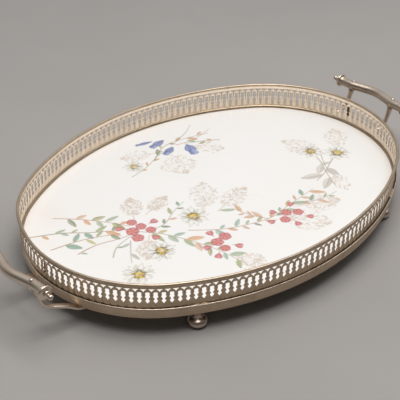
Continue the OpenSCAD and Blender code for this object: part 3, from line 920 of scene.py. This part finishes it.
def soft_edge(distance, softness=0.35):
    """1 well inside a shape and 0 outside it."""
    return np.clip(0.5 - distance / (2 * softness), 0.0, 1.0)


def turned(angle, reach):
    return np.array([math.cos(angle), math.sin(angle)]) * reach


def curve(points, steps=12):
    """A smooth line through points."""
    p = np.array([points[0], *points, points[-1]], float)
    t = np.linspace(0, 1, steps, endpoint=False)[:, None]
    runs = []
    for a, b, c, d in zip(p, p[1:], p[2:], p[3:]):
        bend = (2 * a - 5 * b + 4 * c - d) * t**2 + (3 * b - a - 3 * c + d) * t**3
        runs.append(0.5 * (2 * b + (c - a) * t + bend))
    return np.concatenate(runs + [p[-1:]])


def line(points, width=0.9, colour=STEM, strength=0.8, taper=0.5):
    """A brush line through points that thins towards its end."""
    path = curve(points)
    margin = width + 1
    ids = near(path.min(0) - margin, path.max(0) + margin)
    q = np.stack([grid_x[ids], grid_y[ids]], 1)
    best = np.full(len(ids), FAR)
    for k, (a, b) in enumerate(zip(path, path[1:])):
        run = b - a
        t = np.clip(((q - a) @ run) / max(run @ run, 1e-9), 0, 1)
        gap = np.hypot(*(q - a - t[:, None] * run).T)
        share = (k + t) / (len(path) - 1)
        best = np.minimum(best, gap - width / 2 * (1 - taper * share))
    lay(ids, soft_edge(best) * strength, colour)


def petal(base, tip, width, fill, outline=None, vein=None, strength=0.7, blunt=0.8):
    """A leaf or petal from base to tip: a mottled wash, a darker outline and a vein."""
    base = np.array(base, float)
    tip = np.array(tip, float)
    run = tip - base
    length = np.hypot(*run)
    run /= length
    ids = near(np.minimum(base, tip) - width, np.maximum(base, tip) + width)
    dx = grid_x[ids] - base[0]
    dy = grid_y[ids] - base[1]
    along = (dx * run[0] + dy * run[1]) / length
    across = dy * run[0] - dx * run[1]
    half = width / 2 * np.sin(np.pi * np.clip(along, 0, 1) ** blunt) ** 0.75
    beyond = np.clip(np.abs(along - 0.5) - 0.5, 0, None) * length
    gap = np.where(beyond > 0, np.hypot(beyond, across), np.abs(across) - half)
    cover = soft_edge(gap, 0.45)
    lay(ids, cover * strength, fill)
    lay(ids, cover * strength * 0.15 * (1 + np.sin(along * 17 + across * 3.1)), GLAZE)
    if outline:
        lay(ids, soft_edge(np.abs(gap + 0.25) - 0.28, 0.3) * 0.6, outline)
    if vein:
        lay(ids, soft_edge(np.abs(across) - 0.22, 0.3) * cover * 0.55, vein)


def spot(at, size, colour, strength=0.7):
    ids = near(at - size - 1, at + size + 1)
    gap = np.hypot(grid_x[ids] - at[0], grid_y[ids] - at[1]) - size
    lay(ids, soft_edge(gap, 0.45) * strength, colour)


LEAF_TONES = (
    (GREEN, INK, INK), (TEAL, GREEN, INK), (LIME, INK, OCHRE), (SAGE, TEAL, TEAL), (TAN, ORANGE, BROWN),
    (PEACH, BROWN, TAN), (SAGE, GREEN, INK), (TAN, BROWN, ORANGE), (LIME, OCHRE, None), (GREEN, LIME, INK),
)


def leafy_stem(points, gap, reach, width=1.0, tone=STEM, tones=LEAF_TONES, first=0.15):
    """A stem through points with two-toned leaves leaning forward on alternate sides."""
    line(points, width, tone, 0.85, 0.4)
    path = curve(points)
    run = np.linalg.norm(np.diff(path, axis=0), axis=1)
    travelled = np.concatenate([[0.0], np.cumsum(run)])
    count = int(travelled[-1] * (1 - first) / gap)
    for k in range(count):
        where = travelled[-1] * first + (k + rng.uniform(-0.2, 0.2)) * gap
        i = min(int(np.searchsorted(travelled, max(where, 0.0))), len(path) - 2)
        ahead = path[i + 1] - path[i]
        heading = math.atan2(ahead[1], ahead[0]) + (1 if k % 2 else -1) * rng.uniform(0.4, 1.0)
        length = reach * rng.uniform(0.6, 1.3)
        fill, outline, vein = tones[int(rng.integers(len(tones)))]
        base = path[i] + turned(heading, 1.5)
        tip = path[i] + turned(heading, length)
        broad = length * rng.uniform(0.28, 0.42)
        line([path[i], base], 0.6, tone, 0.7)
        petal(base, tip, broad, fill, outline, vein, 0.75)
        aside = turned(heading + math.pi / 2, broad * 0.2)
        tip = tip - turned(heading, length * 0.12)
        petal(base + aside, tip + aside, broad * 0.45, outline or tone, strength=0.4)


def blossom(at, size, turn=0.0, petals=5):
    """A small open red flower with rounded petals and a pale throat."""
    at = np.array(at, float)
    for k in range(petals):
        a = turn + 2 * math.pi * k / petals
        petal(at + turned(a, size * 0.08), at + turned(a, size), size * 1.02, RED, CRIMSON, None, 0.88, 1.35)
        petal(at + turned(a, size * 0.3), at + turned(a, size * 0.85), size * 0.32, ROSE, strength=0.6)
    spot(at, size * 0.3, ROSE, 0.85)
    spot(at, size * 0.16, OCHRE, 0.8)


def side_blossom(at, size, heading):
    """A red flower seen from the side: a short tube that opens into three lobes."""
    at = np.array(at, float)
    line([at - turned(heading, size * 1.4), at], 0.7, GREEN, 0.7)
    for spread in (-0.55, 0.55, 0.0):
        tip = at + turned(heading + spread, size * 1.25)
        lobe = RED if spread else ROSE
        petal(at - turned(heading, size * 0.9), tip, size * 0.85, lobe, CRIMSON, None, 0.85, 1.5)


# Flowers follow each other round a head by this angle, so that they fill it evenly.
SPIRAL = 2.4


def cluster(at, opened, beside, size=7.0, spacing=8.5, turn=0.0):
    """Open flowers packed in the middle of a head, with side views round them."""
    at = np.array(at)
    for k in range(opened):
        middle = at + turned(turn + SPIRAL * k, spacing * math.sqrt(k + 0.3))
        blossom(middle, size * rng.uniform(0.85, 1.1), rng.uniform(0, 2))
    for k in range(opened, opened + beside):
        a = turn + SPIRAL * k
        side_blossom(at + turned(a, spacing * math.sqrt(k + 0.5)), size * 0.7, a)


def edelweiss(at, size, turn=0.0, count=9, darkness=0.75):
    """A woolly white star on soft grey shading, with dark strokes between its rays and yellow florets."""
    at = np.array(at, float)
    for k in range(count):
        a = turn + 2 * math.pi * (k + 0.5) / count + rng.uniform(-0.1, 0.1)
        tip = at + turned(a, size * rng.uniform(0.75, 1.0))
        petal(at + turned(a, size * 0.1), tip, size * 0.4, MOSS, strength=0.4)
    for k in range(count):
        a = turn + 2 * math.pi * k / count + rng.uniform(-0.12, 0.12)
        tip = at + turned(a, size * rng.uniform(0.85, 1.15))
        petal(at + turned(a, size * 0.2), tip, size * 0.3, WOOL, ASH, PEBBLE, 0.95)
    for k in range(2 * count):
        a = turn + math.pi * (k + 0.5) / count + rng.uniform(-0.12, 0.12)
        reach = size * rng.uniform(0.45, 0.8)
        line([at + turned(a, size * 0.26), at + turned(a, reach)], size * 0.085, INK, darkness, 0.9)
    for k in range(4 * count):
        reach = size * 0.36 * math.sqrt(rng.uniform(0, 1))
        spot(at + turned(rng.uniform(0, 2 * math.pi), reach), size * 0.07, OCHRE if k % 2 else YELLOW, 0.85)
    for _ in range(2 * count):
        a = rng.uniform(0, 2 * math.pi)
        spot(at + turned(a, size * rng.uniform(0.22, 0.42)), size * 0.045, INK, 0.8)


def gentian(root, heading, length, width):
    """A blue trumpet seen from the side, swelling to pointed lobes."""
    root = np.array(root, float)
    mouth = root + turned(heading, length)
    petal(root, mouth, width, BLUE, NAVY, NAVY, 0.85, 1.3)
    for spread in (-0.8, -0.3, 0.3, 0.8):
        tip = mouth + turned(heading + spread, width * 0.5)
        lobe = BLUE if spread < 0 else SKY
        petal(mouth - turned(heading, width * 0.5), tip, width * 0.42, lobe, NAVY, strength=0.8)
    for share in (0.3, 0.6):
        crease = [root + turned(heading, length * share * part) for part in (0.4, 1.3)]
        line(crease, 0.7, NAVY, 0.55)


def plume(root, heading, length, width, seeds=170, strength=0.75):
    """A feathery seed head: a few thin stalks and a mass of short dabs that fills a drop-shaped outline."""
    root = np.array(root, float)
    for k in range(5):
        a = heading + (k - 2) * width / length * 0.3
        stalk = [root, root + turned((a + heading) / 2, length * 0.5), root + turned(a, length * 0.9)]
        line(stalk, 0.5, GRASS, strength * 0.7)
    for _ in range(seeds):
        share = rng.uniform(0.25, 1.0)
        aside = rng.uniform(-0.5, 0.5) * width * math.sin(math.pi * min(share, 0.97) ** 1.4)
        at = root + turned(heading, length * share) + turned(heading + math.pi / 2, aside)
        dab = turned(heading + rng.uniform(-1.1, 1.1), rng.uniform(0.6, 1.5))
        line([at - dab, at + dab], rng.uniform(0.8, 1.5), GRASS, strength * rng.uniform(0.6, 1.2), 0.2)


def paint_main_spray():
    """The large spray that runs from the left end, below the middle, to the right."""
    for root, heading, length, width in (
        ((-35, -20), 0.85, 62, 34), ((-20, -25), 0.25, 55, 26), ((-95, 20), 1.0, 42, 24),
        ((-80, 20), 0.3, 40, 20), ((20, -70), -0.95, 58, 40), ((45, -72), -0.45, 52, 30),
        ((-60, -85), -1.3, 42, 30), ((-100, -10), -2.3, 40, 24),
    ):
        plume(root, heading, length, width)
    for points, *look in (
        ([(-195, 68), (-165, 52), (-140, 32), (-110, 12)], 10, 14, 1.5),
        ([(-188, 35), (-155, 28), (-120, 12)], 12, 15, 1.3, BROWN),
        ([(-155, 78), (-135, 58), (-115, 32), (-105, 15)], 8, 15, 1.1, BROWN),
        ([(-172, 12), (-150, 12), (-125, 5), (-105, 2)], 40, 9, 1.3, BROWN),
        ([(-150, -15), (-138, -5), (-120, 0), (-105, 0)], 40, 9, 1.1),
        ([(-110, 8), (-90, -15), (-75, -45), (-65, -75), (-60, -110)], 8, 17),
        ([(-65, -30), (-40, -50), (-15, -62), (15, -70), (45, -66), (85, -62)], 7, 15, 1.0, BROWN),
        ([(10, -70), (0, -50), (-5, -30)], 6, 13, 0.9, BROWN, LEAF_TONES[4:8]),
        ([(50, -68), (75, -80), (100, -82)], 8, 13, 0.9),
        ([(-95, -5), (-75, -5), (-55, 5), (-35, 12)], 9, 11, 0.9),
        ([(-120, -5), (-132, -20), (-142, -34)], 12, 17, 1.1, ASH, ((PEBBLE, ASH, ASH), (SAGE, ASH, None))),
    ):
        leafy_stem(points, *look)
    cluster((-100, 5), 5, 3, 6.6, 7.6, 0.6)
    cluster((-55, -68), 3, 4, 6.4, 8.0, 2.0)
    cluster((30, -78), 3, 5, 6.0, 8.0, 1.2)
    for at, turn in (((-45, -15), 0.2), ((-108, -38), 0.5), ((-148, -52), 0.1)):
        edelweiss(at, 17.0, turn)


def paint_gentians():
    """A small group of blue trumpets at the back."""
    plume((20, 100), -1.9, 52, 42)
    plume((10, 105), 2.75, 45, 24, 70)
    plume((45, 95), -0.9, 42, 26, 90)
    leafy_stem([(-5, 95), (20, 110), (45, 110), (80, 100)], 12, 11, 1.2)
    leafy_stem([(80, 80), (65, 90), (45, 100)], 10, 10, 1.4)
    leafy_stem([(-45, 85), (-20, 90), (5, 100), (30, 105)], 13, 11, 0.9, GREEN)
    line([(40, 110), (62, 118), (78, 128)], 1.1, INK, 0.6)
    line([(35, 104), (58, 100), (88, 106)], 1.2, BROWN, 0.7)
    for root, degrees, length, width in (
        ((20, 128), 165, 19, 5.5), ((32, 122), 190, 19, 10.0),
        ((30, 103), 200, 16, 9.5), ((45, 98), 255, 19, 13.0),
    ):
        gentian(root, math.radians(degrees), length, width)
    edelweiss((-30, 100), 12.0, 0.7, 7)


def paint_pair():
    """Two edelweiss on crossed stems at the right."""
    plume((150, -25), 1.9, 58, 32, 150)
    plume((165, -30), 0.9, 50, 28, 110)
    plume((125, -50), -1.9, 40, 24, 60)
    grey = ((PEBBLE, ASH, INK), (PEBBLE, ASH, None))
    leafy_stem([(140, -8), (132, -30), (120, -50), (108, -74)], 12, 22, 1.2, STEM, grey, 0.4)
    leafy_stem([(160, -30), (140, -38), (120, -48), (100, -54)], 13, 22, 1.2, STEM, grey, 0.35)
    line([(150, -12), (128, -42), (122, -66)], 1.0, INK, 0.6)
    edelweiss((140, -8), 15.0, 0.2, 9, 0.85)
    edelweiss((160, -30), 15.5, 0.6, 9, 0.85)


def age_glaze():
    """A faint tea-coloured stain at the left and along the edge, where the plaque meets the frame."""
    for at, size, strength in (((-155, 85), 22.0, 0.1), ((-190, 50), 14.0, 0.1)):
        reach = 3 * size
        ids = near(np.array(at) - reach, np.array(at) + reach)
        gap = np.hypot(grid_x[ids] - at[0], grid_y[ids] - at[1]) / size
        lay(ids, np.exp(-gap**2) * strength, STAIN)
    to_edge = rim_reach(np.arctan2(grid_y, grid_x), PLAQUE_OUT) - np.hypot(grid_x, grid_y)
    lay(np.arange(grid_x.size), np.exp(-((to_edge / 4.5) ** 2)) * 0.15, STAIN)


paint_main_spray()
paint_gentians()
paint_pair()
age_glaze()


def plaque_part():
    """The painted top as a grid, a softly rounded edge and a plain back."""
    total = COLUMNS * ROWS
    top = np.stack([grid_x, grid_y, np.full(total, PLAQUE_TOP)], 1)
    faces = flipped(grid_faces(ROWS, COLUMNS))
    border = grid_border(ROWS, COLUMNS)
    edge = top[border]
    count = len(border)
    parts = [top]
    rings = [border]
    for inset, z in ((-0.02, PLAQUE_TOP - 0.5), (-0.02, PLAQUE_BOTTOM + 0.5), (0.6, PLAQUE_BOTTOM)):
        shrink = 1 - inset / np.hypot(edge[:, 0], edge[:, 1])
        rings.append([total + (len(parts) - 1) * count + k for k in range(count)])
        parts.append(np.stack([edge[:, 0] * shrink, edge[:, 1] * shrink, np.full(count, z)], 1))
    for a, b in zip(rings, rings[1:]):
        faces += [(a[k - 1], b[k - 1], b[k], a[k]) for k in range(count)]
    middle = rings[-1][-1] + 1
    parts.append(np.array([[0.0, 0.0, PLAQUE_BOTTOM]]))
    faces += [(b[k - 1], middle, b[k]) for k in range(count)]
    return np.concatenate(parts), faces


plaque = plaque_part()
paint = np.ones((len(plaque[0]), 4))
paint[:, :3] = srgb(*BACK)
paint[: len(painted), :3] = painted
add_piece("painted_plaque", plaque, glaze_material(), "plaque", ["plaque"], smooth_angle=50, paint=paint)

# ---- floor, lights and camera
FLOOR_LIGHT = (0.405, 0.382, 0.366)
FLOOR_DARK = (0.365, 0.344, 0.33)
FLOOR_HALF = 4.0


def floor_material():
    m = Nodes("grey studio paper")
    fibre = m.noise(260.0, 5.0, 0.7)
    cloud = m.ramp(m.noise(2.2, 4.0, 0.55), (0.3, 0.0), (0.7, 1.0))
    base = m.mix(cloud, FLOOR_LIGHT, FLOOR_DARK)
    m.surface(Base_Color=m.mix(m.ramp(fibre, (0.35, 0.0), (0.75, 0.2)), base, FLOOR_DARK), Roughness=0.85)
    m.bump((fibre, 0.15, 0.0004))
    return m.made


def add_floor():
    h = FLOOR_HALF
    mesh = bpy.data.meshes.new("floor")
    mesh.from_pydata([(-h, -h, 0.0), (h, -h, 0.0), (h, h, 0.0), (-h, h, 0.0)], [], [(0, 1, 2, 3)])
    mesh.materials.append(floor_material())
    floor = bpy.data.objects.new("floor", mesh)
    bpy.context.scene.collection.objects.link(floor)


def softbox(name, at, width, depth, power, colour=(1.0, 1.0, 1.0)):
    """A large soft light that faces the tray."""
    light = bpy.data.lights.new(name, "AREA")
    light.shape = "RECTANGLE"
    light.size = width
    light.size_y = depth
    light.energy = power
    light.color = colour
    lamp = bpy.data.objects.new(name, light)
    lamp.location = at
    lamp.rotation_euler = (-Vector(at)).to_track_quat("-Z", "Y").to_euler()
    bpy.context.scene.collection.objects.link(lamp)


def add_world(toward, dim, bright, strength):
    """Soft surroundings that brighten towards one direction."""
    w = Nodes("studio", bpy.data.worlds, "Generated")
    facing = w.vector_math("DOT_PRODUCT", w.where, Vector(toward).normalized(), "Value")
    light = w.ramp(facing, (0.0, dim), (0.9, bright), "EASE")
    w.fill(w.tree.nodes["Background"], {"Color": light, "Strength": strength})
    bpy.context.scene.world = w.made


CAMERA_AT = Vector((-0.6384, -0.6769, 0.6501))
CAMERA_AIM = Vector((-0.0506, -0.0312, 0.0590))
CAMERA_ROLL = 0.0051
CAMERA_LENS = 94.71


def add_camera():
    ahead = (CAMERA_AIM - CAMERA_AT).normalized()
    right = ahead.cross(Vector((0, 0, 1))).normalized()
    above = right.cross(ahead)
    c, s = math.cos(CAMERA_ROLL), math.sin(CAMERA_ROLL)
    right, above = right * c + above * s, above * c - right * s
    lens = bpy.data.cameras.new("camera")
    lens.lens = CAMERA_LENS
    lens.sensor_width = 36.0
    lens.clip_start = 0.05
    lens.clip_end = 20.0
    camera = bpy.data.objects.new("camera", lens)
    turn = Matrix((right, above, -ahead)).transposed()
    camera.matrix_world = Matrix.Translation(CAMERA_AT) @ turn.to_4x4()
    bpy.context.scene.collection.objects.link(camera)
    bpy.context.scene.camera = camera


add_floor()
softbox("overhead softbox", (0.0, -0.15, 1.8), width=1.5, depth=1.2, power=26.5, colour=(1.0, 0.995, 0.985))
softbox("side softbox", (1.4, -0.5, 1.5), width=0.8, depth=0.8, power=3.0)
add_world(toward=(0.6, 0.75, 0.6), dim=(0.22, 0.22, 0.216), bright=(1.0, 0.99, 0.98), strength=0.46)
add_camera()
bpy.context.scene.view_settings.view_transform = "Standard"
